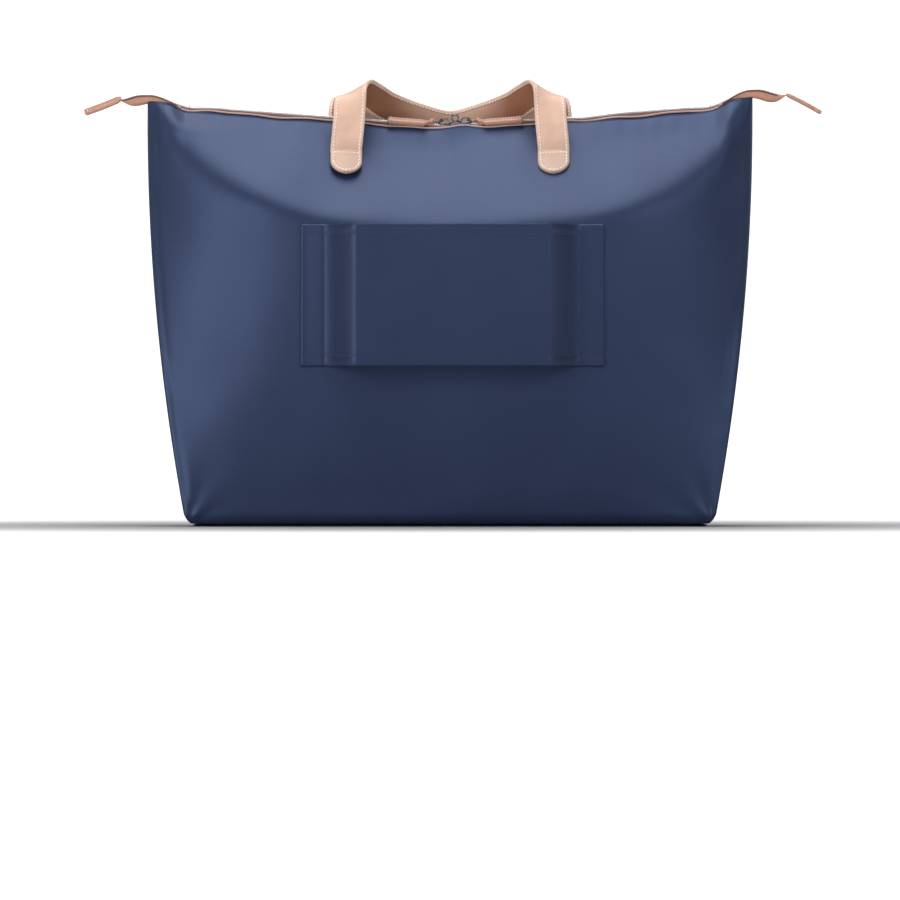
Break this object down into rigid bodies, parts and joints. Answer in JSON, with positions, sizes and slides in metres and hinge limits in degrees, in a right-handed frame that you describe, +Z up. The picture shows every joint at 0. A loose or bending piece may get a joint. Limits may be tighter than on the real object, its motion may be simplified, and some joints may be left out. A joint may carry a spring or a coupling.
{
  "type": "foldable tote bag",
  "caption": "Soft zip-top tote bag with leather carry handles, leather zip ends and a rear sleeve that slips over a suitcase handle.",
  "frame": {"origin": "on the floor under the middle of the base", "axes": "+X to the wearer's right along the bag's width seen from the back, +Y from the back (sleeve side) to the front, +Z up"},
  "size_m": [0.6288, 0.2185, 0.3797],
  "materials": {
    "nylon_fabric": "fine woven nylon, soft sheen",
    "lining_fabric": "plain woven lining",
    "tan_leather": "smooth vegetable-tanned leather",
    "zip_tape": "woven tape",
    "zip_teeth": "bright metal",
    "gunmetal": "polished dark plating"
  },
  "bodies": {
    "root": {"back_panel": "nylon_fabric", "front_panel": "nylon_fabric", "left_gusset": "nylon_fabric", "right_gusset": "nylon_fabric", "base_panel": "nylon_fabric", "trolley_sleeve": "nylon_fabric", "inner_pocket": "lining_fabric", "seam_tape_back_left": "lining_fabric", "seam_tape_back_right": "lining_fabric", "seam_tape_back_base": "lining_fabric", "seam_tape_front_left": "lining_fabric", "seam_tape_front_right": "lining_fabric", "seam_tape_front_base": "lining_fabric", "handle_tab_back_left": "tan_leather", "handle_tab_back_right": "tan_leather", "handle_tab_front_left": "tan_leather", "handle_tab_front_right": "tan_leather", "left_zip_end": "tan_leather", "right_zip_end": "tan_leather", "zip_piping_back": "tan_leather", "zip_piping_front": "tan_leather", "zip_tape_back": "zip_tape", "zip_tape_front": "zip_tape", "zip_teeth_back": "zip_teeth", "zip_teeth_front": "zip_teeth", "left_end_stop": "gunmetal", "right_end_stop": "gunmetal"},
    "back_yoke": {"handle_patch_back_left": "lining_fabric", "handle_patch_back_right": "lining_fabric"},
    "front_yoke": {"handle_patch_front_left": "lining_fabric", "handle_patch_front_right": "lining_fabric"},
    "back_handle": {"back_handle_strap": "tan_leather"},
    "front_handle": {"front_handle_strap": "tan_leather"},
    "left_slider": {"left_slider": "gunmetal", "left_bail": "gunmetal", "left_lock_eye": "gunmetal"},
    "left_link": {"left_pull_link": "gunmetal"},
    "left_pull": {"left_leather_pull": "tan_leather"},
    "left_end_tab": {"left_end_tab": "tan_leather"},
    "right_slider": {"right_slider": "gunmetal", "right_bail": "gunmetal", "right_lock_eye": "gunmetal"},
    "right_link": {"right_pull_link": "gunmetal"},
    "right_pull": {"right_leather_pull": "tan_leather"},
    "right_end_tab": {"right_end_tab": "tan_leather"}
  },
  "joints": [
    {"name": "flatten", "type": "slide", "parent": "root", "child": "back_yoke", "axis": [0, 1, 0], "range_m": [0, 0.0175], "deforming": ["back_panel", "front_panel", "left_gusset", "right_gusset", "base_panel", "trolley_sleeve", "inner_pocket", "seam_tape_back_left", "seam_tape_back_right", "seam_tape_back_base", "seam_tape_front_left", "seam_tape_front_right", "seam_tape_front_base", "handle_tab_back_left", "handle_tab_back_right", "handle_tab_front_left", "handle_tab_front_right", "left_zip_end", "right_zip_end", "zip_piping_back", "zip_piping_front", "zip_tape_back", "zip_tape_front"]},
    {"name": "flatten_front", "type": "slide", "parent": "root", "child": "front_yoke", "axis": [0, -1, 0], "range_m": [0, 0.0175]},
    {"name": "back_handle_swing", "type": "hinge", "parent": "back_yoke", "child": "back_handle", "pos_m": [0, -0.034, 0.32], "axis": [1, 0, 0], "range_deg": [0, 125]},
    {"name": "front_handle_swing", "type": "hinge", "parent": "front_yoke", "child": "front_handle", "pos_m": [0, 0.034, 0.32], "axis": [1, 0, 0], "range_deg": [-30, 25]},
    {"name": "left_slider_slide", "type": "slide", "parent": "root", "child": "left_slider", "axis": [-0.9971, 0, 0.0763], "range_m": [0, 0.17]},
    {"name": "left_link_swing", "type": "hinge", "parent": "left_slider", "child": "left_link", "pos_m": [-0.00614, 0, 0.34518], "axis": [0, 1, 0], "range_deg": [0, 95]},
    {"name": "left_pull_swing", "type": "hinge", "parent": "left_link", "child": "left_pull", "pos_m": [-0.01403, -0.0035, 0.34428], "axis": [0, 1, 0], "range_deg": [0, 60]},
    {"name": "left_end_tab_swing", "type": "hinge", "parent": "root", "child": "left_end_tab", "pos_m": [-0.2832, 0, 0.3652], "axis": [0, 1, 0], "range_deg": [-40, 50]},
    {"name": "right_slider_slide", "type": "slide", "parent": "root", "child": "right_slider", "axis": [0.9971, 0, 0.0763], "range_m": [0, 0.162]},
    {"name": "right_link_swing", "type": "hinge", "parent": "right_slider", "child": "right_link", "pos_m": [0.01494, 0, 0.34585], "axis": [0, -1, 0], "range_deg": [0, 95]},
    {"name": "right_pull_swing", "type": "hinge", "parent": "right_link", "child": "right_pull", "pos_m": [0.02283, -0.0035, 0.34495], "axis": [0, -1, 0], "range_deg": [0, 60]},
    {"name": "right_end_tab_swing", "type": "hinge", "parent": "root", "child": "right_end_tab", "pos_m": [0.2832, 0, 0.3652], "axis": [0, -1, 0], "range_deg": [-40, 50]}
  ],
  "couplings": [
    {"joint": "flatten_front", "follows": "flatten", "ratio": 1}
  ]
}
